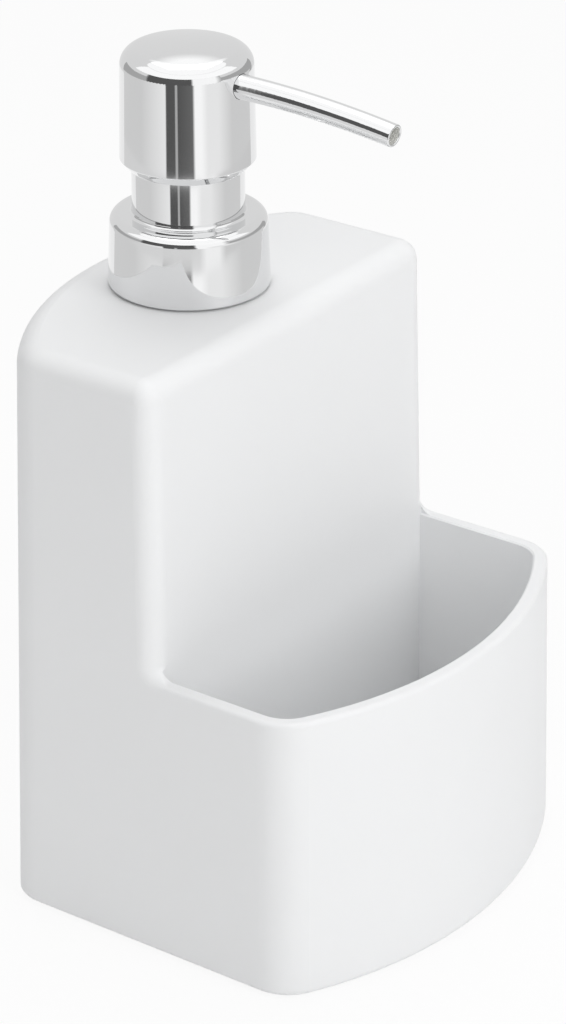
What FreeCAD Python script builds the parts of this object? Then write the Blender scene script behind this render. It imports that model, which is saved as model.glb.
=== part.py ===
import FreeCAD, Part
import math
import os

from FreeCAD import Vector

# Soap pump caddy: a drafted plastic tank with an open sponge caddy in front of it, and a
# screw-on lotion pump. Millimetres, +Z up, -Y is the caddy's side, X = 0 is the symmetry plane.
# The origin lies on the standing surface, at the middle of the footprint.

# Body: plan and heights
BODY_WIDTH = 100.0          # across the flat sides, at the foot
SIDE_DEPTH = 67.8           # depth of the flat sides, corner to corner
FRONT_BULGE = 15.1          # how far the curved front stands before its corners
BACK_BULGE = 17.8           # how far the curved back stands behind its corners
FRONT_CORNER_R = 10.2
BACK_CORNER_R = 8.6
TANK_HEIGHT = 125.3         # shell's foot to the tank's top
CADDY_HEIGHT = 61.9         # shell's foot to the caddy's rim
CADDY_DEPTH = 31.8          # front corners to the tank's front wall, at the rim
DRAFT_DEG = 1.08            # lean of every outer wall
POCKET_DRAFT_DEG = 0.6      # lean of the pocket's inner walls
WALL = 3.0
TANK_EDGE_R = 4.4           # tank's front corners and the edge of its top
RIM_EDGE_R = 0.9            # outer edge of the rim
RIM_ROOT_R = 2.8            # hollow curve where the rim meets the tank's front
RIM_CHAMFER = 0.35          # inner edge of the rim
FOOT_EDGE_R = 1.2
POCKET_FLOOR = 9.0          # shell's foot to the pocket's floor
POCKET_FLOOR_R = 2.5

# Base plate and feet
PLATE_THICK = 2.4
PLATE_REBATE = 1.5          # how much of the wall stays outside the plate's seat
WELD_GAP = 0.1
FOOT_R = 5.0
FOOT_SEAT = 1.0             # depth of a foot's recess in the plate
FOOT_PROUD = 0.6            # how far a foot stands below the shell
FOOT_ROUND = 0.3
FOOT_FROM_SIDE = 17.0       # flat side to a foot's centre
FOOT_FROM_CORNER = 7.0      # front or back corners to a foot's centre

# Neck and thread
PUMP_SETBACK = 27.1         # tank's front wall at the rim's height to the pump's axis
NECK_R = 12.4
NECK_WALL = 2.2
NECK_HEIGHT = 9.0
THREAD_PITCH = 4.2
THREAD_TURNS = 1.2
THREAD_START = 2.4          # tank's top to the middle of the ridge's lower end
RIDGE_HEIGHT = 1.1
RIDGE_ROOT = 1.7            # width of a ridge at its root
RIDGE_CREST = 0.7
RIDGE_SUNK = 0.25           # how far a ridge reaches into the wall it stands on
THREAD_GAP = 0.25           # radial play between the two threads

# Clamped stack on the neck
GASKET_THICK = 1.0
FLANGE_THICK = 1.2
FLANGE_STEP = 0.2           # flanges inside the neck's outer radius
CLAMP_GAP = 0.05

# Chrome collar with its sleeve
NUT_WALL = 1.15
NUT_LIP = 1.45              # thickness of the nut's inner lip
NUT_LIP_REACH = 3.2
PRESS_GAP = 0.05            # between pieces pressed into each other
COLLAR_WALL = 1.7           # at the collar's foot
COLLAR_TAPER = 0.55         # how much slimmer the collar is at its top
COLLAR_GAP = 0.4            # under the collar's foot
COLLAR_FOOT_ROUND = 0.4
COLLAR_EDGE_R = 2.0
COLLAR_PLATE = 1.6          # thickness of the flat top
SLEEVE_R = 11.5
SLEEVE_WALL = 1.1
SLEEVE_LAP = 3.2            # length of the sleeve inside the head, at rest
SLEEVE_ROOT_R = 0.8
SLEEVE_LIP_R = 0.4

# Press head
STROKE = 9.5
STOP_GAP = 0.5              # head to collar when pressed down
SLEEVE_PLAY = 0.3           # head's bore around the sleeve
HEAD_WALL = 2.05            # at the widest place
HEAD_TAPER = 0.45           # how much slimmer the head is at its top
HEAD_CHAMFER = 1.9          # height of the chamfer at the lower edge
HEAD_LIP = 0.3              # width of the lower edge
HEAD_SHOULDER_R = 3.8
CROWN_R = 60.0              # radius of the domed top
HEAD_ROOF = 2.6             # thickness of the head's roof at its middle
CORE_GAP = 1.3              # sleeve to core when pressed down
CORE_HEIGHT = 9.2
SOCKET_WALL = 2.1
SOCKET_DEPTH = 8.4          # how far the stem's socket hangs below the core

# Spout
SPOUT_R = 2.55
SPOUT_TIP_R = 2.35
SPOUT_BORE_R = 1.8
SPOUT_RISE = 5.25           # core's underside to the spout's axis at the head
SPOUT_REACH = 50.0          # pump's axis to the spout's tip
SPOUT_STRAIGHT = 15.0       # pump's axis to where the droop begins
SPOUT_DROOP_R = 250.0
SPOUT_SEAT = 4.0            # length of the spout inside the head's outside
SPOUT_LIP_R = 0.25

# Plunger
STEM_R = 3.5
STEM_BORE_R = 1.6
STEM_PLAY = 0.05            # running fit of the stem in its guide and of the head on the stem
STEM_TOP_GAP = 0.3
STEM_BEAD = 0.35            # snap bead that holds the head on the stem
SPIGOT_STEP = 0.7           # how much slimmer the stem is in the piston
SPIGOT_LENGTH = 5.0
PISTON_LENGTH = 7.0
PISTON_PLAY = 0.05
PISTON_WAIST = 0.9          # depth of the groove between the piston's lips
PISTON_LIP = 1.7
PISTON_REST_GAP = 0.5       # guide's plug to the piston, at rest
OUTLET_BALL_R = 2.3
OUTLET_POCKET_GAP = 0.4     # around the ball in the stem's top
BALL_LIFT = 1.2
BALL_GAP = 0.1              # ball to its seat and to its stop

# Housing and suction
HOUSING_PLAY = 1.1          # housing to the neck's bore
HOUSING_WALL = 1.3
HOUSING_CONE = 4.0          # height of the step from the wide to the narrow tube
GUIDE_PLUG_DEPTH = 7.0
GUIDE_WALL = 2.5
GUIDE_ROUND = 1.3
BOSS_GAP = 1.4              # stem's socket to the guide when pressed down
CHAMBER_R = 5.5
CAGE_THICK = 1.0
CAGE_SLOTS = 4
CAGE_SLOT_R = 0.9
CAGE_SLOT_OUT = 2.1         # pump's axis to a slot's middle
INLET_BALL_R = 2.5
INLET_SEAT_R = 1.6
INLET_POCKET_GAP = 0.3      # around the ball in its pocket
TUBE_R = 3.0
TUBE_WALL = 0.8
TUBE_GRIP = 9.0             # length of the dip tube held in the housing
TUBE_FLOOR_GAP = 3.5        # dip tube's lowest point to the base plate

# Return spring
SPRING_WIRE_R = 0.45
SPRING_PLAY = 0.85          # spring's outside to the chamber's wall
SPRING_TURNS = 7
SPRING_PRESSED = 13.0       # space for the spring when the head is pressed down
SPRING_SEAT_GAP = 0.05

# Body, worked out
SLOPE = math.tan(math.radians(DRAFT_DEG))
POCKET_SLOPE = math.tan(math.radians(POCKET_DRAFT_DEG))
BODY_DEPTH = SIDE_DEPTH + FRONT_BULGE + BACK_BULGE
HALF_WIDTH = BODY_WIDTH / 2
FRONT_CORNER_Y = FRONT_BULGE - BODY_DEPTH / 2
BACK_CORNER_Y = BODY_DEPTH / 2 - BACK_BULGE
SHELL_FOOT = FOOT_PROUD
RIM_Z = SHELL_FOOT + CADDY_HEIGHT
TOP_Z = SHELL_FOOT + TANK_HEIGHT
FLOOR_Z = SHELL_FOOT + POCKET_FLOOR
PLATE_TOP = SHELL_FOOT + PLATE_THICK
TANK_FRONT_Y = FRONT_CORNER_Y + CADDY_DEPTH
PUMP_Y = TANK_FRONT_Y + PUMP_SETBACK
ABOVE_ALL = TOP_Z + TANK_HEIGHT

# Neck, collar and sleeve, worked out
NECK_BORE_R = NECK_R - NECK_WALL
FLANGE_R = NECK_R - FLANGE_STEP
NUT_BORE_R = NECK_R + RIDGE_HEIGHT + THREAD_GAP
NUT_R = NUT_BORE_R + NUT_WALL
NUT_LIP_R = FLANGE_R - NUT_LIP_REACH
COLLAR_FOOT_R = NUT_R + PRESS_GAP + COLLAR_WALL
COLLAR_TOP_R = COLLAR_FOOT_R - COLLAR_TAPER
NECK_TOP = TOP_Z + NECK_HEIGHT
FLANGE_Z = NECK_TOP + GASKET_THICK
GUIDE_FLANGE_Z = FLANGE_Z + FLANGE_THICK
CLAMP_Z = GUIDE_FLANGE_Z + FLANGE_THICK
COLLAR_UNDER = CLAMP_Z + CLAMP_GAP + NUT_LIP
COLLAR_TOP = COLLAR_UNDER + COLLAR_PLATE

# Head and spout, worked out
HEAD_BORE_R = SLEEVE_R + SLEEVE_PLAY
HEAD_LOW_R = HEAD_BORE_R + HEAD_WALL
HEAD_HIGH_R = HEAD_LOW_R - HEAD_TAPER
HEAD_Z = COLLAR_TOP + STOP_GAP + STROKE
SLEEVE_TOP = HEAD_Z + SLEEVE_LAP
CORE_Z = SLEEVE_TOP + STROKE + CORE_GAP
ROOF_Z = CORE_Z + CORE_HEIGHT
HEAD_TOP = ROOF_Z + HEAD_ROOF
SOCKET_R = STEM_R + SOCKET_WALL
SOCKET_Z = CORE_Z - SOCKET_DEPTH
SPOUT_Z = CORE_Z + SPOUT_RISE
SPOUT_ROOT = HEAD_HIGH_R - SPOUT_SEAT

# Plunger and housing, worked out
STEM_TOP = CORE_Z - STEM_TOP_GAP
BEAD_Z = CORE_Z - SOCKET_DEPTH / 2
STEM_TOP_BORE_R = OUTLET_BALL_R + OUTLET_POCKET_GAP
SPIGOT_R = STEM_R - SPIGOT_STEP
GUIDE_PLUG_R = NECK_BORE_R - HOUSING_PLAY - HOUSING_WALL
GUIDE_BOSS_R = STEM_R + GUIDE_WALL
GUIDE_TOP = SOCKET_Z - STROKE - BOSS_GAP
PLUG_Z = GUIDE_FLANGE_Z - GUIDE_PLUG_DEPTH
PISTON_HIGH = PLUG_Z - PISTON_REST_GAP
PISTON_LOW = PISTON_HIGH - PISTON_LENGTH
CAGE_TOP = PISTON_LOW - STROKE - SPRING_PRESSED
CHAMBER_Z = CAGE_TOP - CAGE_THICK
SPRING_MEAN_R = CHAMBER_R - SPRING_PLAY - SPRING_WIRE_R
INLET_BALL_Z = CHAMBER_Z - BALL_GAP - BALL_LIFT - INLET_BALL_R
OUTLET_BALL_Z = CORE_Z - BALL_GAP - BALL_LIFT - OUTLET_BALL_R
TUBE_BORE_R = TUBE_R - TUBE_WALL
TUBE_FOOT = PLATE_TOP + TUBE_FLOOR_GAP


def cone_seat(ball_z, ball_r, hole_r):
    """Height of the lower edge, at hole_r, of the 45 degree cone that a ball lies on."""
    return ball_z + hole_r - math.sqrt(2) * (ball_r + BALL_GAP)


INLET_SEAT_Z = cone_seat(INLET_BALL_Z, INLET_BALL_R, INLET_SEAT_R)
OUTLET_SEAT_Z = cone_seat(OUTLET_BALL_Z, OUTLET_BALL_R, STEM_BORE_R)
TUBE_TOP = INLET_SEAT_Z - HOUSING_WALL


def tank_front(z):
    """Y of the tank's leaning front wall at height z."""
    return TANK_FRONT_Y + (z - RIM_Z) * SLOPE


def bulge_circle(half_width, corner_y, bulge, corner_r, side):
    """Centre Y and radius of a bulged end, and the Y of its corner rounds' centres."""
    radius = (half_width ** 2 + bulge ** 2) / (2 * bulge)
    centre = corner_y - side * (radius - bulge)
    reach = math.sqrt((radius - corner_r) ** 2 - (half_width - corner_r) ** 2)
    return centre, radius, centre + side * reach


def end_arcs(half_width, corner_y, bulge, corner_r, side, inset):
    """Corner, bulge, corner: the three arcs of one end, given from -X to +X, as point triples."""
    centre, radius, round_y = bulge_circle(half_width, corner_y, bulge, corner_r, side)
    round_x = half_width - corner_r
    lean = math.atan2(round_x, side * (round_y - centre))
    small = corner_r - inset
    large = radius - inset
    turn = (math.pi / 2 + lean) / 2

    def on_corner(angle):
        return (round_x + small * math.sin(angle), round_y + side * small * math.cos(angle))

    right = [on_corner(lean), on_corner(turn), on_corner(math.pi / 2)]
    left = [(-x, y) for x, y in reversed(right)]
    middle = [left[2], (0.0, centre + side * large), right[0]]
    return [left, middle, right]


def outline(inset, z):
    """Closed plan outline of the drafted body at height z, moved in by inset."""
    lean = (z - SHELL_FOOT) * SLOPE
    half_width = HALF_WIDTH - lean
    front = end_arcs(half_width, FRONT_CORNER_Y + lean, FRONT_BULGE, FRONT_CORNER_R, -1, inset)
    back = end_arcs(half_width, BACK_CORNER_Y - lean, BACK_BULGE, BACK_CORNER_R, 1, inset)
    back = [list(reversed(arc)) for arc in reversed(back)]

    def arc_edge(arc):
        return Part.Arc(*[Vector(x, y, z) for x, y in arc]).toShape()

    def side_edge(start, end):
        return Part.makeLine(Vector(start[0], start[1], z), Vector(end[0], end[1], z))

    edges = [arc_edge(arc) for arc in front]
    edges.append(side_edge(front[-1][-1], back[0][0]))
    edges += [arc_edge(arc) for arc in back]
    edges.append(side_edge(back[-1][-1], front[0][0]))
    return Part.Wire(edges)


def plan_block(low_inset, low_z, high_inset, high_z):
    """Solid between two plan outlines."""
    return Part.makeLoft([outline(low_inset, low_z), outline(high_inset, high_z)], True, True)


def rounded_wire(corners, place):
    """Closed wire through (u, v, radius) corners, each rounded by its radius."""
    ends = []
    count = len(corners)
    edges = []
    for index, (u, v, radius) in enumerate(corners):
        here = Vector(u, v, 0)
        before = (Vector(*corners[index - 1][:2], 0) - here).normalize()
        after = (Vector(*corners[(index + 1) % count][:2], 0) - here).normalize()
        if radius == 0:
            ends.append((here, here, None))
            continue
        half = before.getAngle(after) / 2
        reach = radius / math.tan(half)
        middle = (before + after).normalize() * (radius / math.sin(half) - radius)
        ends.append((here + before * reach, here + after * reach, here + middle))
    for index, (first, last, middle) in enumerate(ends):
        if middle is not None:
            edges.append(Part.Arc(place(first), place(middle), place(last)).toShape())
        start = ends[(index + 1) % count][0]
        if (start - last).Length > 1e-6:
            edges.append(Part.makeLine(place(last), place(start)))
    return Part.Wire(edges)


def turned(*corners):
    """Solid of revolution about the pump's axis from (r, z) or (r, z, radius) corners."""
    full = [corner if len(corner) == 3 else (*corner, 0) for corner in corners]
    wire = rounded_wire(full, lambda p: Vector(p.x, PUMP_Y, p.y))
    return Part.Face(wire).revolve(Vector(0, PUMP_Y, 0), Vector(0, 0, 1), 360)


def tube(inner_r, outer_r, low, high):
    return turned((inner_r, low), (outer_r, low), (outer_r, high), (inner_r, high))


def rod(radius, low, high, x=0.0, y=None):
    axis_y = PUMP_Y if y is None else y
    return Part.makeCylinder(radius, high - low, Vector(x, axis_y, low))


def side_block(corners):
    """Solid across the whole body from a profile of (y, z, radius) corners."""
    wire = rounded_wire(corners, lambda p: Vector(-BODY_WIDTH, p.x, p.y))
    return Part.Face(wire).extrude(Vector(2 * BODY_WIDTH, 0, 0))


def behind_tank_front(low, high):
    """Everything behind the tank's front wall, between two heights."""
    return side_block([(tank_front(low), low, 0), (BODY_DEPTH, low, 0),
                       (BODY_DEPTH, high, 0), (tank_front(high), high, 0)])


def middle_of(edge):
    return edge.valueAt((edge.FirstParameter + edge.LastParameter) / 2)


def sharp_edges(solid, wanted):
    """Edges whose two faces meet at an angle, where wanted(middle point) is true."""
    found = []
    for edge in solid.Edges:
        middle = middle_of(edge)
        faces = solid.ancestorsOfType(edge, Part.Face)
        if len(faces) != 2 or not wanted(middle):
            continue
        normals = [face.normalAt(*face.Surface.parameter(middle)) for face in faces]
        if normals[0].getAngle(normals[1]) > math.radians(10):
            found.append(edge)
    return found


def rounded_edges(solid, radius_at):
    """Solid with its sharp edges rounded together, each by radius_at(middle point), 0 for none."""
    chosen = sharp_edges(solid, radius_at)
    rounds = []
    for number, edge in enumerate(solid.Edges, 1):
        if any(edge.isSame(other) for other in chosen):
            radius = radius_at(middle_of(edge))
            rounds.append((number, radius, radius))
    document = FreeCAD.newDocument("rounding", hidden=True)
    base = document.addObject("Part::Feature", "base")
    base.Shape = solid
    rounding = document.addObject("Part::Fillet", "rounding")
    rounding.Base = base
    rounding.Edges = rounds
    document.recompute()
    shape = rounding.Shape.copy()
    FreeCAD.closeDocument(document.Name)
    return shape


def thread_ridge(root_r, crest_r, start_deg):
    """Helical ridge on the pump's axis, from the radius it stands on to its crest."""
    path = Part.makeHelix(THREAD_PITCH, THREAD_PITCH * THREAD_TURNS, root_r)
    sunk = root_r - math.copysign(RIDGE_SUNK, crest_r - root_r)
    corners = [(sunk, -RIDGE_ROOT / 2), (crest_r, -RIDGE_CREST / 2),
               (crest_r, RIDGE_CREST / 2), (sunk, RIDGE_ROOT / 2)]
    profile = Part.makePolygon([Vector(r, 0, z) for r, z in corners + corners[:1]])
    sweep = Part.BRepOffsetAPI.MakePipeShell(path)
    sweep.setBiNormalMode(Vector(0, 0, 1))
    sweep.add(profile)
    sweep.build()
    sweep.makeSolid()
    ridge = sweep.shape()
    ridge.rotate(Vector(0, 0, 0), Vector(0, 0, 1), start_deg)
    ridge.translate(Vector(0, PUMP_Y, TOP_Z + THREAD_START))
    return ridge


def tank_cavity():
    """Inside of the tank, with the low space under the pocket's floor."""
    roof = TOP_Z - WALL
    low_roof = FLOOR_Z - WALL
    inside = plan_block(WALL, SHELL_FOOT, WALL, roof)
    below, above = SHELL_FOOT - WALL, roof + WALL
    return inside.common(side_block([(-BODY_DEPTH, below, 0), (BODY_DEPTH, below, 0),
                                     (BODY_DEPTH, above, 0), (tank_front(above) + WALL, above, 0),
                                     (tank_front(low_roof) + WALL, low_roof, 0), (-BODY_DEPTH, low_roof, 0)]))


def pocket():
    """Sponge pocket in front of the tank, open upwards, with a chamfered mouth."""
    high = RIM_Z + 2 * RIM_ROOT_R
    mouth = RIM_Z - RIM_CHAMFER
    at_floor = WALL + (mouth - FLOOR_Z) * (SLOPE + POCKET_SLOPE)
    at_rim = WALL - RIM_CHAMFER
    block = plan_block(at_floor, FLOOR_Z, WALL, mouth)
    block = block.fuse(plan_block(WALL, mouth, at_rim, RIM_Z))
    block = block.fuse(plan_block(at_rim, RIM_Z, at_rim, high))
    block = block.cut(behind_tank_front(SHELL_FOOT, high + WALL))
    floor_edges = sharp_edges(block, lambda p: p.z < FLOOR_Z + 0.01)
    return block.makeFillet(POCKET_FLOOR_R, floor_edges)


def outer_edge_r(point):
    """Radius of an outer edge of the body, from the rim upwards."""
    if point.z < RIM_Z - 0.01:
        return 0
    if point.z > RIM_Z + 0.01:
        return TANK_EDGE_R
    return RIM_EDGE_R if point.y < TANK_FRONT_Y - 0.01 else RIM_ROOT_R


def body_shell():
    solid = plan_block(0, SHELL_FOOT, 0, TOP_Z)
    over_caddy = side_block([(-BODY_DEPTH, RIM_Z, 0), (TANK_FRONT_Y, RIM_Z, 0),
                             (tank_front(ABOVE_ALL), ABOVE_ALL, 0), (-BODY_DEPTH, ABOVE_ALL, 0)])
    solid = rounded_edges(solid.cut(over_caddy), outer_edge_r)
    foot_edges = sharp_edges(solid, lambda p: p.z < SHELL_FOOT + 0.01)
    solid = solid.makeFillet(FOOT_EDGE_R, foot_edges)
    solid = solid.cut(tank_cavity())
    solid = solid.cut(plan_block(PLATE_REBATE, SHELL_FOOT, PLATE_REBATE, PLATE_TOP))
    solid = solid.cut(pocket())
    neck = rod(NECK_R, TOP_Z - WALL / 2, NECK_TOP)
    neck = neck.fuse(thread_ridge(NECK_R, NECK_R + RIDGE_HEIGHT, 0))
    solid = solid.fuse(neck)
    return solid.cut(rod(NECK_BORE_R, TOP_Z - 2 * WALL, NECK_TOP + WALL)).removeSplitter()


def foot_places():
    """Foot name to its centre."""
    places = {}
    foot_x = HALF_WIDTH - FOOT_FROM_SIDE
    ends = {"front": FRONT_CORNER_Y + FOOT_FROM_CORNER, "back": BACK_CORNER_Y - FOOT_FROM_CORNER}
    for end, y in ends.items():
        for side, x in (("left", -foot_x), ("right", foot_x)):
            places["foot_%s_%s" % (end, side)] = (x, y)
    return places


def base_plate():
    edge = PLATE_REBATE + WELD_GAP
    plate = plan_block(edge, SHELL_FOOT, edge, PLATE_TOP)
    for x, y in foot_places().values():
        plate = plate.cut(rod(FOOT_R, SHELL_FOOT - WALL, SHELL_FOOT + FOOT_SEAT, x, y))
    return plate


def foot(x, y):
    pad = rod(FOOT_R, 0, SHELL_FOOT + FOOT_SEAT, x, y)
    return pad.makeFillet(FOOT_ROUND, sharp_edges(pad, lambda p: p.z < 0.01))


def neck_gasket():
    return tube(NECK_BORE_R, FLANGE_R, NECK_TOP, FLANGE_Z)


def pump_housing():
    wide_r = GUIDE_PLUG_R + HOUSING_WALL
    slim_r = CHAMBER_R + HOUSING_WALL
    grip_r = TUBE_R + HOUSING_WALL
    step_z = PLUG_Z - HOUSING_WALL
    foot_z = TUBE_TOP - TUBE_GRIP
    pocket_r = INLET_BALL_R + INLET_POCKET_GAP
    cone_top = INLET_SEAT_Z + pocket_r - INLET_SEAT_R
    return turned((GUIDE_PLUG_R, GUIDE_FLANGE_Z), (GUIDE_PLUG_R, PLUG_Z), (CHAMBER_R, PLUG_Z),
                  (CHAMBER_R, CHAMBER_Z), (pocket_r, CHAMBER_Z), (pocket_r, cone_top),
                  (INLET_SEAT_R, INLET_SEAT_Z), (INLET_SEAT_R, TUBE_TOP), (TUBE_R, TUBE_TOP),
                  (TUBE_R, foot_z), (grip_r, foot_z), (grip_r, INLET_SEAT_Z),
                  (slim_r, CHAMBER_Z), (slim_r, step_z - HOUSING_CONE), (wide_r, step_z),
                  (wide_r, FLANGE_Z), (FLANGE_R, FLANGE_Z), (FLANGE_R, GUIDE_FLANGE_Z))


def stem_guide():
    bore_r = STEM_R + STEM_PLAY
    return turned((bore_r, PLUG_Z), (GUIDE_PLUG_R, PLUG_Z), (GUIDE_PLUG_R, GUIDE_FLANGE_Z),
                  (FLANGE_R, GUIDE_FLANGE_Z), (FLANGE_R, CLAMP_Z), (GUIDE_BOSS_R, CLAMP_Z),
                  (GUIDE_BOSS_R, GUIDE_TOP, GUIDE_ROUND), (bore_r, GUIDE_TOP))


def ball_cage():
    cage = rod(CHAMBER_R - PRESS_GAP, CHAMBER_Z, CAGE_TOP)
    for index in range(CAGE_SLOTS):
        turn = 2 * math.pi * index / CAGE_SLOTS
        x = CAGE_SLOT_OUT * math.cos(turn)
        y = PUMP_Y + CAGE_SLOT_OUT * math.sin(turn)
        cage = cage.cut(rod(CAGE_SLOT_R, CHAMBER_Z - WALL, CAGE_TOP + WALL, x, y))
    return cage


def ball(radius, z):
    return Part.makeSphere(radius, Vector(0, PUMP_Y, z))


def dip_tube():
    pipe = tube(TUBE_BORE_R, TUBE_R - PRESS_GAP, TUBE_FOOT, TUBE_TOP)
    corners = [(PUMP_Y - 2 * TUBE_R, TUBE_FOOT - WALL, 0), (PUMP_Y + 2 * TUBE_R, TUBE_FOOT - WALL, 0),
               (PUMP_Y + 2 * TUBE_R, TUBE_FOOT, 0), (PUMP_Y + TUBE_R, TUBE_FOOT, 0),
               (PUMP_Y - TUBE_R, TUBE_FOOT + 2 * TUBE_R, 0), (PUMP_Y - 2 * TUBE_R, TUBE_FOOT + 2 * TUBE_R, 0)]
    return pipe.cut(side_block(corners))


def arc_from(start, heading, end):
    """Arc that leaves start along heading and ends at end."""
    chord = end - start
    along = Vector(chord).normalize()
    across = heading - along * heading.dot(along)
    rise = chord.Length / 2 * math.tan(heading.getAngle(chord) / 2)
    return Part.Arc(start, start + chord / 2 + across.normalize() * rise, end).toShape()


def helix_wire(radius, pitch, turns, low):
    """Helix about the pump's axis as two tangent arcs for each quarter turn."""
    climb = pitch / (2 * math.pi)

    def point(turn):
        return Vector(radius * math.cos(turn), PUMP_Y + radius * math.sin(turn), low + climb * turn)

    def heading(turn):
        return Vector(-radius * math.sin(turn), radius * math.cos(turn), climb).normalize()

    edges = []
    for quarter in range(4 * turns):
        begin, end = quarter * math.pi / 2, (quarter + 1) * math.pi / 2
        first, last = point(begin), point(end)
        out, back = heading(begin), heading(end)
        chord = last - first
        bend = 2 * (1 - out.dot(back))
        pull = chord.dot(out + back)
        reach = (math.sqrt(pull ** 2 + bend * chord.dot(chord)) - pull) / bend
        middle = (first + out * reach + last - back * reach) / 2
        edges.append(arc_from(first, out, middle))
        edges.append(arc_from(last, back * -1, middle))
    return Part.Wire(Part.sortEdges(edges)[0])


def least_gap(path, turns):
    """Least free space between a coil's turns, measured between points along its wire."""
    points = path.discretize(Distance=SPRING_WIRE_R)
    half_turn = len(points) // (2 * turns)
    spans = [here.distanceToPoint(there) for index, here in enumerate(points)
             for there in points[index + half_turn:]]
    return min(spans) - 2 * SPRING_WIRE_R


def return_spring():
    low = CAGE_TOP + SPRING_WIRE_R + SPRING_SEAT_GAP
    high = PISTON_LOW - SPRING_WIRE_R - SPRING_SEAT_GAP
    pitch = (high - low) / SPRING_TURNS
    path = helix_wire(SPRING_MEAN_R, pitch, SPRING_TURNS, low)
    start = Vector(SPRING_MEAN_R, PUMP_Y, low)
    climb = Vector(0, SPRING_MEAN_R, pitch / (2 * math.pi))
    wire = Part.Wire(Part.makeCircle(SPRING_WIRE_R, start, climb))
    print("return_spring: least gap between turns %.2f mm" % least_gap(path, SPRING_TURNS))
    return path.makePipeShell([wire], True, False)


def collar_shell():
    foot_z = TOP_Z + COLLAR_GAP
    bore_r = NUT_R + PRESS_GAP
    inner_r = SLEEVE_R - SLEEVE_WALL
    return turned((bore_r, foot_z), (COLLAR_FOOT_R, foot_z, COLLAR_FOOT_ROUND),
                  (COLLAR_TOP_R, COLLAR_TOP, COLLAR_EDGE_R), (SLEEVE_R, COLLAR_TOP, SLEEVE_ROOT_R),
                  (SLEEVE_R, SLEEVE_TOP, SLEEVE_LIP_R), (inner_r, SLEEVE_TOP),
                  (inner_r, COLLAR_UNDER), (bore_r, COLLAR_UNDER))


def collar_nut():
    foot_z = TOP_Z + 2 * COLLAR_GAP
    lip_z = COLLAR_UNDER - NUT_LIP
    nut = turned((NUT_BORE_R, foot_z), (NUT_R, foot_z), (NUT_R, COLLAR_UNDER),
                 (NUT_LIP_R, COLLAR_UNDER), (NUT_LIP_R, lip_z), (NUT_BORE_R, lip_z))
    return nut.fuse(thread_ridge(NUT_BORE_R, NUT_BORE_R - RIDGE_HEIGHT, 180)).removeSplitter()


def stem():
    cone = STEM_TOP_BORE_R - STEM_BORE_R
    foot_z = PISTON_HIGH - SPIGOT_LENGTH
    return turned((STEM_BORE_R, foot_z), (SPIGOT_R, foot_z), (SPIGOT_R, PISTON_HIGH),
                  (STEM_R, PISTON_HIGH), (STEM_R, BEAD_Z - STEM_BEAD),
                  (STEM_R + STEM_BEAD, BEAD_Z), (STEM_R, BEAD_Z + STEM_BEAD),
                  (STEM_R, STEM_TOP), (STEM_TOP_BORE_R, STEM_TOP),
                  (STEM_TOP_BORE_R, OUTLET_SEAT_Z + cone), (STEM_BORE_R, OUTLET_SEAT_Z))


def piston():
    bore_r = SPIGOT_R + PRESS_GAP
    rim_r = CHAMBER_R - PISTON_PLAY
    waist_r = rim_r - PISTON_WAIST
    spigot_foot = PISTON_HIGH - SPIGOT_LENGTH
    low_lip = PISTON_LOW + PISTON_LIP
    high_lip = PISTON_HIGH - PISTON_LIP
    return turned((STEM_BORE_R, PISTON_LOW), (rim_r, PISTON_LOW), (rim_r, low_lip),
                  (waist_r, low_lip + PISTON_WAIST), (waist_r, high_lip - PISTON_WAIST),
                  (rim_r, high_lip), (rim_r, PISTON_HIGH), (bore_r, PISTON_HIGH),
                  (bore_r, spigot_foot), (STEM_BORE_R, spigot_foot))


def spout_rod(radius, tip_r, start):
    """Solid along the spout's line: straight out of the head, then a long droop to the tip."""
    swing = math.asin((SPOUT_REACH - SPOUT_STRAIGHT) / SPOUT_DROOP_R)

    def at(reach, drop):
        return Vector(0, PUMP_Y - reach, SPOUT_Z - drop)

    def on_droop(angle):
        return at(SPOUT_STRAIGHT + SPOUT_DROOP_R * math.sin(angle), SPOUT_DROOP_R * (1 - math.cos(angle)))

    bend = at(SPOUT_STRAIGHT, 0)
    tip = on_droop(swing)
    path = Part.Wire([Part.makeLine(at(start, 0), bend),
                      Part.Arc(bend, on_droop(swing / 2), tip).toShape()])
    tip_heading = Vector(0, -math.cos(swing), -math.sin(swing))
    sections = [Part.Wire(Part.makeCircle(radius, at(start, 0), Vector(0, -1, 0))),
                Part.Wire(Part.makeCircle(tip_r, tip, tip_heading))]
    return path.makePipeShell(sections, True, False)


def spout():
    solid = spout_rod(SPOUT_R, SPOUT_TIP_R, SPOUT_ROOT)
    solid = solid.cut(spout_rod(SPOUT_BORE_R, SPOUT_BORE_R, SPOUT_ROOT))
    mouth = [edge for edge in solid.Edges if edge.BoundBox.YMax < PUMP_Y - SPOUT_REACH + SPOUT_TIP_R]
    return solid.makeFillet(SPOUT_LIP_R, mouth)


def spout_hole(radius):
    return Part.makeCylinder(radius, COLLAR_FOOT_R, Vector(0, PUMP_Y - SPOUT_ROOT, SPOUT_Z), Vector(0, -1, 0))


def head_shell():
    lip_r = HEAD_BORE_R + HEAD_LIP
    blank = turned((0, HEAD_Z), (lip_r, HEAD_Z), (HEAD_LOW_R, HEAD_Z + HEAD_CHAMFER, HEAD_LIP),
                   (HEAD_HIGH_R, HEAD_TOP), (0, HEAD_TOP))
    dome = ball(CROWN_R, HEAD_TOP - CROWN_R)
    blank = blank.common(dome)
    shoulder = sharp_edges(blank, lambda p: p.z > HEAD_TOP - HEAD_SHOULDER_R)
    blank = blank.makeFillet(HEAD_SHOULDER_R, shoulder)
    return blank.cut(rod(HEAD_BORE_R, HEAD_Z - WALL, ROOF_Z)).cut(spout_hole(SPOUT_R + PRESS_GAP))


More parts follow.
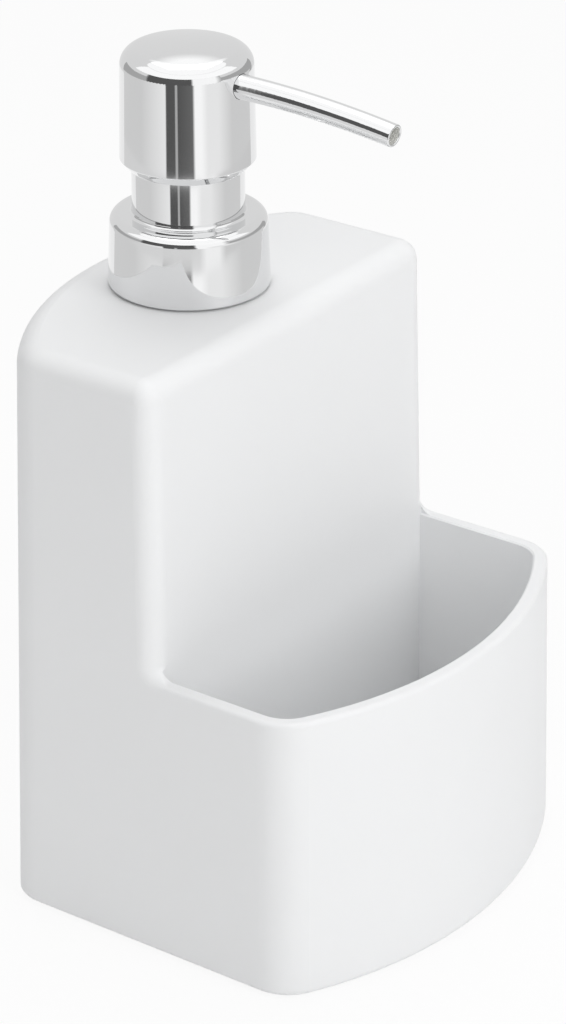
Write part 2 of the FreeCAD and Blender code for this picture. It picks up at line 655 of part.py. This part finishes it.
def head_core():
    bore_r = STEM_R + STEM_PLAY
    core_r = HEAD_BORE_R - PRESS_GAP
    groove = STEM_BEAD + STEM_PLAY
    core = turned((0, ROOF_Z), (core_r, ROOF_Z), (core_r, CORE_Z), (SOCKET_R, CORE_Z),
                  (SOCKET_R, SOCKET_Z), (bore_r, SOCKET_Z), (bore_r, BEAD_Z - groove),
                  (bore_r + groove, BEAD_Z), (bore_r, BEAD_Z + groove), (bore_r, CORE_Z),
                  (SPOUT_BORE_R, CORE_Z), (SPOUT_BORE_R, SPOUT_Z), (0, SPOUT_Z))
    channel = Part.makeCylinder(SPOUT_BORE_R, SPOUT_ROOT + WALL, Vector(0, PUMP_Y, SPOUT_Z), Vector(0, -1, 0))
    return core.cut(channel).cut(spout_hole(SPOUT_R + PRESS_GAP))


def pieces():
    """Every piece's name and solid."""
    made = {
        "body_shell": body_shell(),
        "base_plate": base_plate(),
        "neck_gasket": neck_gasket(),
        "pump_housing": pump_housing(),
        "stem_guide": stem_guide(),
        "ball_cage": ball_cage(),
        "return_spring": return_spring(),
        "inlet_ball": ball(INLET_BALL_R, INLET_BALL_Z),
        "dip_tube": dip_tube(),
        "collar_shell": collar_shell(),
        "collar_nut": collar_nut(),
        "stem": stem(),
        "piston": piston(),
        "outlet_ball": ball(OUTLET_BALL_R, OUTLET_BALL_Z),
        "head_shell": head_shell(),
        "head_core": head_core(),
        "spout": spout(),
    }
    for name, (x, y) in foot_places().items():
        made[name] = foot(x, y)
    return made


def main():
    os.makedirs("parts", exist_ok=True)
    for name, shape in pieces().items():
        solid = shape.Solids[0] if len(shape.Solids) == 1 else shape
        box = solid.BoundBox
        print("%-18s valid %s solids %d volume %.1f z %.2f to %.2f"
              % (name, solid.isValid(), len(shape.Solids), shape.Volume, box.ZMin, box.ZMax))
        solid.exportStep("parts/%s.step" % name)


main()
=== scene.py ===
import math

import bpy
import numpy
from bpy.props import FloatProperty, FloatVectorProperty, PointerProperty
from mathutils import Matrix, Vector


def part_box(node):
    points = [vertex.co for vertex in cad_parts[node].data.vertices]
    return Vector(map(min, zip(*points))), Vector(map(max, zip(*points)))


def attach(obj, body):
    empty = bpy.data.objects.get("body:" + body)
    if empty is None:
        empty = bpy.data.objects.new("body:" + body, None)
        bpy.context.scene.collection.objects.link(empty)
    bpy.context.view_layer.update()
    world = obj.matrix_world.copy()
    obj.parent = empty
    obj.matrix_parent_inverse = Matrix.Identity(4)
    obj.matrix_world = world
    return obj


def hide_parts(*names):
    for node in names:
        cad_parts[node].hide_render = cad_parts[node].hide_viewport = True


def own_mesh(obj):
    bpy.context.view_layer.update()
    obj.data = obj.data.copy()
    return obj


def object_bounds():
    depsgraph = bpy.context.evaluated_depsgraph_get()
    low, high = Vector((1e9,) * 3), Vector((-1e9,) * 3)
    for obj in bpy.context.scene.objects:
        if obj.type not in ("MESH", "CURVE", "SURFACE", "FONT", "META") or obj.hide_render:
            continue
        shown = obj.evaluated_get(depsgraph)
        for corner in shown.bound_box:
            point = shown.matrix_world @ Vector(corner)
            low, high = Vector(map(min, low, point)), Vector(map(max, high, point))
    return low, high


bl_info = {
    "name": "Soap pump caddy",
    "version": (1, 0, 0),
    "blender": (4, 5, 0),
    "location": "View3D > Sidebar > Soap caddy",
    "description": "Finishes a white soap tank with a sponge caddy and a chrome lotion pump, and lights it",
    "category": "Object",
}

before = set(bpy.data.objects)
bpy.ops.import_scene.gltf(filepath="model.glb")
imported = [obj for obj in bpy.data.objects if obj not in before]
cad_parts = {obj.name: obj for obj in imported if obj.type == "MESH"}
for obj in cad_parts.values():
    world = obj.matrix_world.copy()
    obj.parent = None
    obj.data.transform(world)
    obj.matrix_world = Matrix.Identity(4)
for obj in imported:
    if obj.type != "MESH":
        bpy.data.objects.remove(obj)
CAD_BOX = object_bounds()

CARD_LEVEL = "level"
PUMP_AXIS = (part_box("collar_shell")[0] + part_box("collar_shell")[1]) / 2
SPOUT_WIDTH = (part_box("spout")[1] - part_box("spout")[0]).x
FEET = [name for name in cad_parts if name.startswith("foot_")]
PUMP_PLASTICS = ["pump_housing", "stem_guide", "ball_cage", "collar_nut", "stem", "head_core"]
VALVE_BALLS = ["inlet_ball", "outlet_ball"]
NOISE_MIDDLE = 0.5
FLOOR_REACH = 4.0
# Watts that give a flat lamp of one square metre the brightness 1.
LAMP_WATTS = 4.0
# Each lamp: degrees rightwards from the camera, distance from the pump, height, width and length.
LAMPS = {
    "overhead": (180, 0.25, 0.95, 0.57, 0.57),
    "key": (48, 0.85, 0.55, 0.5, 0.7),
    "fill": (-12, 1.2, 0.6, 1.0, 0.8),
}


def colour(label, note, default):
    return FloatVectorProperty(name=label, description=note, default=default,
                               subtype="COLOR", size=3, min=0.0, max=1.0)


def length(label, note, default):
    return FloatProperty(name=label, description=note, default=default,
                         subtype="DISTANCE", unit="LENGTH", min=0.0, precision=6)


def share(label, note, default):
    return FloatProperty(name=label, description=note, default=default,
                         subtype="FACTOR", min=0.0, max=1.0)


def strength(label, note, default):
    return FloatProperty(name=label, description=note, default=default, min=0.0)


def angle(label, note, degrees):
    return FloatProperty(name=label, description=note, default=math.radians(degrees),
                         subtype="ANGLE", unit="ROTATION")


class BodyLook(bpy.types.PropertyGroup):
    """Soft matte white of the tank with its caddy, and of what closes it below"""
    tank_colour: colour("Tank", "White of the tank and the caddy", (0.87, 0.876, 0.882))
    base_colour: colour("Base", "White of the plate under the tank", (0.80, 0.80, 0.80))
    pad_colour: colour("Pads", "Pale grey of the rubber pads", (0.46, 0.46, 0.45))
    roughness: share("Roughness", "How matte the moulding is", 0.52)
    grain_size: length("Grain", "Distance between the grains of the mould's fine texture", 0.00035)
    grain_depth: length("Grain depth", "Depth of the mould's fine texture", 0.000004)


class ChromeLook(bpy.types.PropertyGroup):
    """Bright plating of the collar, the press head and the spout"""
    tint: colour("Tint", "Colour of the plating", (0.80, 0.803, 0.807))
    roughness: share("Roughness", "Blur of the mirror", 0.05)
    ripple_size: length("Ripple", "Length of the faint waves in the plating", 0.012)
    ripple_depth: length("Ripple depth", "Height of the faint waves in the plating", 0.000004)


class PumpLook(bpy.types.PropertyGroup):
    """Plastics and steels inside the pump"""
    plastic_colour: colour("Plastic", "Natural white of the pump's mouldings", (0.78, 0.78, 0.75))
    seal_colour: colour("Seal", "Milky white of the piston", (0.70, 0.70, 0.67))
    gasket_colour: colour("Gasket", "Washer on the neck", (0.62, 0.62, 0.61))
    tube_colour: colour("Dip tube", "Tint of the clear suction tube", (0.88, 0.89, 0.89))
    steel_colour: colour("Steel", "Spring and valve balls", (0.56, 0.56, 0.57))


class StageLook(bpy.types.PropertyGroup):
    """Floor, light, reflected cards and camera"""
    floor_colour: colour("Floor", "Pale floor", (0.90, 0.90, 0.90))
    floor_white: share("Floor white", "How much of the floor is plain white to the camera", 0.9)
    sky: strength("Sky", "Even light from all around", 0.50)
    overhead: strength("Overhead", "Brightness of the soft lamp above", 1.70)
    key: strength("Key", "Brightness of the soft lamp before the caddy", 2.24)
    fill: strength("Fill", "Brightness of the broad lamp beside the camera", 0.69)
    pale_card: strength("Pale card", "Brightness of the pale room that the chrome mirrors", 0.81)
    dark_card: strength("Dark card", "Brightness of the dark things that the chrome mirrors", 0.105)
    dim_card: strength("Dim card", "Brightness of the gap between the dark things", 0.47)
    bright_card: strength("Bright card", "Brightness of the white card beside the dark things", 1.15)
    grey_card: strength("Grey card", "Brightness of the dim sides that the shoulders mirror", 0.45)
    back_card: strength("Back card", "Brightness of the white cards that the head's top mirrors", 1.19)
    camera_place: FloatVectorProperty(name="Camera", description="Where the camera stands", size=3,
                                      default=(-0.56157, -0.40287, 0.42068), subtype="TRANSLATION",
                                      unit="LENGTH")
    azimuth: angle("Azimuth", "Camera's side, from the front towards the right", -54.43)
    elevation: angle("Elevation", "Camera's height above the horizon", 26.21)
    lens: FloatProperty(name="Lens", description="Focal length", default=131.3, unit="CAMERA")
    shift_x: FloatProperty(name="Shift X", description="Sideways shift of the frame", default=-0.0057)
    shift_y: FloatProperty(name="Shift Y", description="Upward shift of the frame", default=-0.0013)


def node_group(name, inputs, outputs):
    """A new shader group with float or colour sockets, and its two end nodes."""
    tree = bpy.data.node_groups.new(name, "ShaderNodeTree")
    for direction, sockets in (("INPUT", inputs), ("OUTPUT", outputs)):
        for label, kind in sockets:
            tree.interface.new_socket(label, in_out=direction, socket_type="NodeSocket" + kind)
    return tree, tree.nodes.new("NodeGroupInput"), tree.nodes.new("NodeGroupOutput")


def arithmetic(tree, operation, *values):
    """A math node on sockets or plain numbers; returns its result."""
    node = tree.nodes.new("ShaderNodeMath")
    node.operation = operation
    for socket, value in zip(node.inputs, values):
        if isinstance(value, bpy.types.NodeSocket):
            tree.links.new(value, socket)
        else:
            socket.default_value = value
    return node.outputs[0]


def noise(tree, size, detail):
    """Noise in the piece's own space, with the given distance between its lumps."""
    place = tree.nodes.new("ShaderNodeTexCoord")
    node = tree.nodes.new("ShaderNodeTexNoise")
    node.inputs["Detail"].default_value = detail
    tree.links.new(place.outputs["Object"], node.inputs["Vector"])
    tree.links.new(arithmetic(tree, "DIVIDE", 1.0, size), node.inputs["Scale"])
    return node.outputs["Fac"]


def surface_grain():
    """Group: fine height, and roughness that wanders about its middle value."""
    name = "Surface grain"
    if name in bpy.data.node_groups:
        return bpy.data.node_groups[name]
    tree, given, made = node_group(
        name,
        [("Size", "Float"), ("Patch", "Float"), ("Roughness", "Float"), ("Spread", "Float")],
        [("Height", "Float"), ("Roughness", "Float")])
    height = noise(tree, given.outputs["Size"], detail=2.0)
    patches = noise(tree, given.outputs["Patch"], detail=4.0)
    wander = arithmetic(tree, "SUBTRACT", patches, NOISE_MIDDLE)
    rough = arithmetic(tree, "MULTIPLY_ADD", wander, given.outputs["Spread"], given.outputs["Roughness"])
    tree.links.new(height, made.inputs["Height"])
    tree.links.new(rough, made.inputs["Roughness"])
    return tree


def tone_drift():
    """Group: a colour that drifts a little darker in broad patches."""
    name = "Tone drift"
    if name in bpy.data.node_groups:
        return bpy.data.node_groups[name]
    tree, given, made = node_group(
        name, [("Color", "Color"), ("Patch", "Float"), ("Drift", "Float")], [("Color", "Color")])
    patches = noise(tree, given.outputs["Patch"], detail=3.0)
    darker = arithmetic(tree, "MULTIPLY", patches, given.outputs["Drift"])
    keep = arithmetic(tree, "SUBTRACT", 1.0, darker)
    scale = tree.nodes.new("ShaderNodeVectorMath")
    scale.operation = "SCALE"
    tree.links.new(given.outputs["Color"], scale.inputs[0])
    tree.links.new(keep, scale.inputs["Scale"])
    tree.links.new(scale.outputs[0], made.inputs["Color"])
    return tree


def placed_group(tree, group, **values):
    node = tree.nodes.new("ShaderNodeGroup")
    node.node_tree = group
    for label, value in values.items():
        node.inputs[label].default_value = value
    return node


def finish_material(name, tint, roughness, spread, grain_size, grain_depth, patch, drift):
    """A material whose colour, roughness and normal vary over the surface; returns it and its shader."""
    made = bpy.data.materials.new(name)
    made.use_nodes = True
    tree = made.node_tree
    shader = tree.nodes["Principled BSDF"]
    tone = placed_group(tree, tone_drift(), Color=(*tint, 1.0), Patch=patch, Drift=drift)
    grain = placed_group(tree, surface_grain(), Size=grain_size, Patch=patch,
                         Roughness=roughness, Spread=spread)
    bump = tree.nodes.new("ShaderNodeBump")
    bump.inputs["Strength"].default_value = 1.0
    bump.inputs["Distance"].default_value = grain_depth
    tree.links.new(tone.outputs["Color"], shader.inputs["Base Color"])
    tree.links.new(grain.outputs["Roughness"], shader.inputs["Roughness"])
    tree.links.new(grain.outputs["Height"], bump.inputs["Height"])
    tree.links.new(bump.outputs["Normal"], shader.inputs["Normal"])
    return made, shader


def matte_white(name, tint, look):
    """Moulded plastic with a fine spark-eroded texture."""
    made, shader = finish_material(name, tint, roughness=look.roughness, spread=0.08, patch=0.03, drift=0.02,
                                   grain_size=look.grain_size, grain_depth=look.grain_depth)
    shader.inputs["IOR"].default_value = 1.46
    return made


def soft_rubber(name, tint):
    made, shader = finish_material(name, tint, roughness=0.7, spread=0.15, patch=0.006, drift=0.08,
                                   grain_size=0.0006, grain_depth=0.00002)
    shader.inputs["IOR"].default_value = 1.5
    return made


def pump_plastic(name, tint):
    """Natural polypropylene: half gloss, with some light inside it."""
    made, shader = finish_material(name, tint, roughness=0.34, spread=0.12, patch=0.009, drift=0.05,
                                   grain_size=0.0009, grain_depth=0.000006)
    shader.inputs["Subsurface Weight"].default_value = 0.25
    shader.inputs["Subsurface Radius"].default_value = (0.0012, 0.0012, 0.0011)
    return made


def bore_lining(name, tint):
    """White plastic of the channel inside the spout."""
    made, shader = finish_material(name, tint, roughness=0.4, spread=0.08, patch=0.009, drift=0.03,
                                   grain_size=0.0009, grain_depth=0.000002)
    shader.inputs["IOR"].default_value = 1.49
    return made


def clear_tube(name, tint):
    """Extruded polyethylene that lets light through."""
    made, shader = finish_material(name, tint, roughness=0.3, spread=0.1, patch=0.012, drift=0.04,
                                   grain_size=0.002, grain_depth=0.00001)
    shader.inputs["Transmission Weight"].default_value = 0.6
    shader.inputs["IOR"].default_value = 1.5
    return made


def chrome_plate(look):
    made, shader = finish_material("chrome_plate", look.tint, roughness=look.roughness, spread=0.03,
                                   patch=0.008, drift=0.02,
                                   grain_size=look.ripple_size, grain_depth=look.ripple_depth)
    shader.inputs["Metallic"].default_value = 1.0
    return made


def bright_steel(look):
    made, shader = finish_material("bright_steel", look.steel_colour, roughness=0.22, spread=0.12,
                                   patch=0.003, drift=0.12, grain_size=0.0004, grain_depth=0.000003)
    shader.inputs["Metallic"].default_value = 1.0
    return made


def coat(names, material):
    """Gives the named CAD nodes this material."""
    for name in names:
        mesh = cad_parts[name].data
        mesh.materials.clear()
        mesh.materials.append(material)


def line_bore(name, material, across):
    """Gives the inner wall of a tube, whose faces look at each other, this material."""
    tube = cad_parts[name]
    tube.data.materials.append(material)
    lift = 1e-5
    for face in tube.data.polygons:
        met = tube.ray_cast(face.center + face.normal * lift, face.normal, distance=across)[0]
        face.material_index = 1 if met else 0


def pressed_coil(context, material):
    """The return spring as a piece of its own, held still on the pump's frame."""
    coil = bpy.data.objects.new("return_coil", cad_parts["return_spring"].data.copy())
    context.scene.collection.objects.link(coil)
    coil.data.materials.clear()
    coil.data.materials.append(material)
    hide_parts("return_spring")
    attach(coil, "pump_frame")
    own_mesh(coil)


class SOAPCADDY_OT_tank(bpy.types.Operator):
    """Finish the white tank with its caddy"""
    bl_idname = "soap_caddy.tank"
    bl_label = "Tank and caddy"

    def execute(self, context):
        look = context.scene.soap_caddy_body
        coat(["body_shell"], matte_white("tank_white", look.tank_colour, look))
        return {"FINISHED"}


class SOAPCADDY_OT_base(bpy.types.Operator):
    """Finish the base plate and its four pads"""
    bl_idname = "soap_caddy.base"
    bl_label = "Base plate and pads"

    def execute(self, context):
        look = context.scene.soap_caddy_body
        coat(["base_plate"], matte_white("base_white", look.base_colour, look))
        coat(FEET, soft_rubber("pad_rubber", look.pad_colour))
        return {"FINISHED"}


class SOAPCADDY_OT_chrome(bpy.types.Operator):
    """Finish the chrome collar, press head and spout"""
    bl_idname = "soap_caddy.chrome"
    bl_label = "Chrome collar, head and spout"

    def execute(self, context):
        coat(["collar_shell", "head_shell", "spout"], chrome_plate(context.scene.soap_caddy_chrome))
        lining = bore_lining("spout_bore", context.scene.soap_caddy_pump.plastic_colour)
        line_bore("spout", lining, SPOUT_WIDTH)
        return {"FINISHED"}


class SOAPCADDY_OT_pump(bpy.types.Operator):
    """Finish the plastics, seals and suction tube of the pump"""
    bl_idname = "soap_caddy.pump"
    bl_label = "Pump plastics"

    def execute(self, context):
        look = context.scene.soap_caddy_pump
        coat(PUMP_PLASTICS, pump_plastic("natural_plastic", look.plastic_colour))
        coat(["piston"], pump_plastic("piston_seal", look.seal_colour))
        coat(["neck_gasket"], soft_rubber("gasket_rubber", look.gasket_colour))
        coat(["dip_tube"], clear_tube("suction_tube", look.tube_colour))
        return {"FINISHED"}


class SOAPCADDY_OT_steel(bpy.types.Operator):
    """Finish the return spring and the valve balls"""
    bl_idname = "soap_caddy.steel"
    bl_label = "Spring and valve balls"

    def execute(self, context):
        steel = bright_steel(context.scene.soap_caddy_pump)
        coat(VALVE_BALLS, steel)
        pressed_coil(context, steel)
        return {"FINISHED"}


def seen_directly(tree):
    """1 for rays from the camera, a mirror or clear plastic, and 0 for those that only carry light."""
    path = tree.nodes.new("ShaderNodeLightPath").outputs
    mirrored = arithmetic(tree, "MAXIMUM", path["Is Glossy Ray"], path["Is Transmission Ray"])
    return arithmetic(tree, "MAXIMUM", path["Is Camera Ray"], mirrored)


def white_world(context, look):
    world = bpy.data.worlds.new("white_room")
    world.use_nodes = True
    tree = world.node_tree
    level = arithmetic(tree, "MULTIPLY_ADD", seen_directly(tree), 1.0 - look.sky, look.sky)
    background = tree.nodes["Background"]
    background.inputs["Color"].default_value = (1.0, 1.0, 1.0, 1.0)
    tree.links.new(level, background.inputs["Strength"])
    context.scene.world = world


def floor_material(look):
    """Pale floor that is part plain white to the camera, and keeps the object's shadow."""
    made = bpy.data.materials.new("pale_floor")
    made.use_nodes = True
    tree = made.node_tree
    shader = tree.nodes["Principled BSDF"]
    shader.inputs["Base Color"].default_value = (*look.floor_colour, 1.0)
    shader.inputs["Roughness"].default_value = 0.9
    shader.inputs["Specular IOR Level"].default_value = 0.0
    white = tree.nodes.new("ShaderNodeEmission")
    mix = tree.nodes.new("ShaderNodeMixShader")
    whiteness = arithmetic(tree, "MULTIPLY", seen_directly(tree), look.floor_white)
    tree.links.new(whiteness, mix.inputs["Fac"])
    tree.links.new(shader.outputs["BSDF"], mix.inputs[1])
    tree.links.new(white.outputs["Emission"], mix.inputs[2])
    tree.links.new(mix.outputs["Shader"], tree.nodes["Material Output"].inputs["Surface"])
    return made


def stage_mesh(context, name, points, faces, material):
    mesh = bpy.data.meshes.new(name)
    mesh.from_pydata(points, [], faces)
    mesh.materials.append(material)
    thing = bpy.data.objects.new(name, mesh)
    context.scene.collection.objects.link(thing)
    return thing


def around(azimuth, distance, height):
    """A point at a distance from the pump's axis, on the side that an azimuth gives."""
    return Vector((PUMP_AXIS.x + distance * math.sin(azimuth),
                   PUMP_AXIS.y - distance * math.cos(azimuth), height))


def card_glow():
    """Glow whose strength is stored on the card's points."""
    name = "card_glow"
    if name in bpy.data.materials:
        return bpy.data.materials[name]
    made = bpy.data.materials.new(name)
    made.use_nodes = True
    tree = made.node_tree
    light = tree.nodes.new("ShaderNodeEmission")
    stored = tree.nodes.new("ShaderNodeAttribute")
    stored.attribute_name = CARD_LEVEL
    tree.links.new(stored.outputs["Fac"], light.inputs["Strength"])
    tree.links.new(light.outputs["Emission"], tree.nodes["Material Output"].inputs["Surface"])
    return made


def glow_card(context, name, points, faces, glow):
    """A card of the given brightness at each point, seen only in reflections."""
    card = stage_mesh(context, name, points, faces, card_glow())
    stored = card.data.attributes.new(CARD_LEVEL, "FLOAT", "POINT")
    stored.data.foreach_set("value", glow)
    card.visible_camera = False
    card.visible_diffuse = False
    card.visible_shadow = False
    card.visible_transmission = False


def mirror_card(context, name, look, distance, levels, rows, bow=0.0):
    """A card that curves about the pump.

    levels: (degrees rightwards from the camera, brightness); rows: (height, share of that brightness).
    bow: how much higher the card is at its ends, as a share of its height.
    """
    turns = range(levels[0][0], levels[-1][0] + 1)
    brightness = numpy.interp(turns, [turn for turn, _ in levels], [level for _, level in levels])
    points = []
    glow = []
    for turn, level, along in zip(turns, brightness, numpy.linspace(-1.0, 1.0, len(turns))):
        for height, part in rows:
            lifted = height * (1.0 + bow * along ** 2)
            points.append(around(look.azimuth + math.radians(turn), distance, lifted))
            glow.append(level * part)
    across = len(rows)
    faces = []
    for corner in range(len(points) - across):
        if (corner + 1) % across:
            faces.append((corner, corner + across, corner + across + 1, corner + 1))
    glow_card(context, name, points, faces, glow)


def ceiling_card(context, distance, height, level):
    """A round card over the pump."""
    step = 5
    points = [around(math.radians(turn), distance, height) for turn in range(0, 360, step)]
    glow_card(context, "ceiling_card", points, [range(len(points))], [level] * len(points))


def even_rows(bottom, top):
    """Rows of a card that is as bright at its bottom as at its top."""
    return [(bottom, 1.0), (top, 1.0)]


def strip_levels(look, left, slit, right):
    """Brightness by degrees: two dark strips parted by a slit, and a bright card on their right."""
    dark, dim, bright = look.dark_card, look.dim_card, look.bright_card
    end, side = 130, 80
    half_dark = 1.5 * dark
    room, glint = 0.9 * look.pale_card, 1.2 * look.pale_card
    return [(-end, room), (-side, room), (left - 2, glint), (left, dark), (slit - 3, dark),
            (slit - 2, dim), (slit + 1, dim), (slit + 2, dark), (right, half_dark), (right + 4, bright),
            (right + 14, bright), (right + 25, glint), (right + 44, glint), (side, room), (end, room)]


def near_cards(context, look):
    """Cards before the pump that its upright sides mirror."""
    pale = look.pale_card
    glint = 1.32 * pale
    distance, sleeve_top, collar_top, head_top = 0.295, 0.0415, 0.0558, 0.125
    sleeve = strip_levels(look, left=-34, slit=-17, right=3)
    collar = [(-130, 0.95 * pale), (16, pale), (26, glint), (44, glint), (54, 0.9 * pale),
              (130, 0.85 * pale)]
    head = strip_levels(look, left=-33, slit=-16, right=10)
    for name, levels, bottom, top in (
            ("sleeve_strips", sleeve, 0.0, sleeve_top),
            ("collar_card", collar, sleeve_top, collar_top),
            ("head_strips", head, collar_top, head_top)):
        mirror_card(context, name, look, distance, levels, even_rows(bottom, top))


def far_cards(context, look):
    """Cards further out that the shoulders and the head's top mirror."""
    pale, dark, grey = look.pale_card, look.dark_card, look.grey_card
    bright, white = look.bright_card, look.back_card
    front, room, wall, ceiling = 0.5, 0.6, 0.62, 0.75
    low, side_top, band_top, white_from, back_from = 0.03, 0.29, 0.40, 0.45, 0.54
    soft_edge, high, wall_top, ceiling_height = 0.08, 0.9, 0.95, 1.05
    band = [(-70, grey), (-66, dark), (8, dark), (12, bright), (50, bright), (60, grey)]
    behind = [(back_from, pale / white), (back_from + soft_edge, 1.0), (high, 1.0)]
    for name, distance, levels, rows, bow in (
            ("dark_band", front, band, even_rows(low, band_top), 0.0),
            ("left_side", front, [(-130, grey), (-70, grey)], even_rows(low, side_top), 0.0),
            ("right_side", front, [(60, grey), (140, grey)], even_rows(low, side_top), 0.0),
            ("front_card", room, [(-105, white), (105, white)], even_rows(white_from, high), 0.0),
            ("back_card", room, [(152, white), (208, white)], behind, 0.6),
            ("pale_wall", wall, [(-180, pale), (180, pale)], even_rows(0.0, wall_top), 0.0)):
        mirror_card(context, name, look, distance, levels, rows, bow)
    ceiling_card(context, ceiling, ceiling_height, white)


def soft_lamp(context, name, place, target, width, height, level):
    """A flat lamp that shines with one brightness all over, turned to its target."""
    lamp = bpy.data.lights.new(name, "AREA")
    lamp.shape = "RECTANGLE"
    lamp.size = width
    lamp.size_y = height
    lamp.energy = LAMP_WATTS * level * width * height
    thing = bpy.data.objects.new(name, lamp)
    thing.location = place
    thing.rotation_mode = "QUATERNION"
    thing.rotation_quaternion = (Vector(target) - Vector(place)).to_track_quat("-Z", "Y")
    thing.visible_camera = False
    context.scene.collection.objects.link(thing)


def photo_camera(context, look):
    data = bpy.data.cameras.new("photo_camera")
    data.sensor_width = 36.0
    data.lens = look.lens
    data.shift_x = look.shift_x
    data.shift_y = look.shift_y
    camera = bpy.data.objects.new("photo_camera", data)
    level = math.cos(look.elevation)
    ahead = Vector((-math.sin(look.azimuth) * level, math.cos(look.azimuth) * level,
                    -math.sin(look.elevation)))
    camera.location = look.camera_place
    camera.rotation_mode = "QUATERNION"
    camera.rotation_quaternion = ahead.to_track_quat("-Z", "Y")
    context.scene.collection.objects.link(camera)
    context.scene.camera = camera


class SOAPCADDY_OT_stage(bpy.types.Operator):
    """Build the floor, the light, the mirrored cards and the camera"""
    bl_idname = "soap_caddy.stage"
    bl_label = "Stage and camera"

    def execute(self, context):
        look = context.scene.soap_caddy_stage
        context.scene.view_settings.view_transform = "Standard"
        white_world(context, look)
        signs = ((-1, -1), (1, -1), (1, 1), (-1, 1))
        corners = [(x * FLOOR_REACH, y * FLOOR_REACH, 0.0) for x, y in signs]
        stage_mesh(context, "floor", corners, [(0, 1, 2, 3)], floor_material(look))
        middle = (CAD_BOX[0] + CAD_BOX[1]) / 2
        for name, (turn, distance, height, width, span) in LAMPS.items():
            place = around(look.azimuth + math.radians(turn), distance, height)
            soft_lamp(context, name + "_lamp", place, middle, width, span, getattr(look, name))
        near_cards(context, look)
        far_cards(context, look)
        photo_camera(context, look)
        return {"FINISHED"}


LOOKS = {
    "soap_caddy_body": BodyLook,
    "soap_caddy_chrome": ChromeLook,
    "soap_caddy_pump": PumpLook,
    "soap_caddy_stage": StageLook,
}
OPERATORS = [
    SOAPCADDY_OT_tank,
    SOAPCADDY_OT_base,
    SOAPCADDY_OT_chrome,
    SOAPCADDY_OT_pump,
    SOAPCADDY_OT_steel,
    SOAPCADDY_OT_stage,
]


class SOAPCADDY_PT_panel(bpy.types.Panel):
    """Looks of the soap pump caddy, and the steps that make them"""
    bl_idname = "SOAPCADDY_PT_panel"
    bl_label = "Soap pump caddy"
    bl_space_type = "VIEW_3D"
    bl_region_type = "UI"
    bl_category = "Soap caddy"

    def draw(self, context):
        for holder, look in LOOKS.items():
            box = self.layout.box()
            box.label(text=look.__doc__)
            for label in look.__annotations__:
                box.prop(getattr(context.scene, holder), label)
        for operator in OPERATORS:
            self.layout.operator(operator.bl_idname)


CLASSES = [*LOOKS.values(), *OPERATORS, SOAPCADDY_PT_panel]


def register():
    for made in CLASSES:
        bpy.utils.register_class(made)
    for holder, look in LOOKS.items():
        setattr(bpy.types.Scene, holder, PointerProperty(type=look))


def unregister():
    for holder in LOOKS:
        delattr(bpy.types.Scene, holder)
    for made in reversed(CLASSES):
        bpy.utils.unregister_class(made)


def main():
    register()
    bpy.ops.soap_caddy.tank()
    bpy.ops.soap_caddy.base()
    bpy.ops.soap_caddy.chrome()
    bpy.ops.soap_caddy.pump()
    bpy.ops.soap_caddy.steel()
    bpy.ops.soap_caddy.stage()


if __name__ == "__main__":
    main()
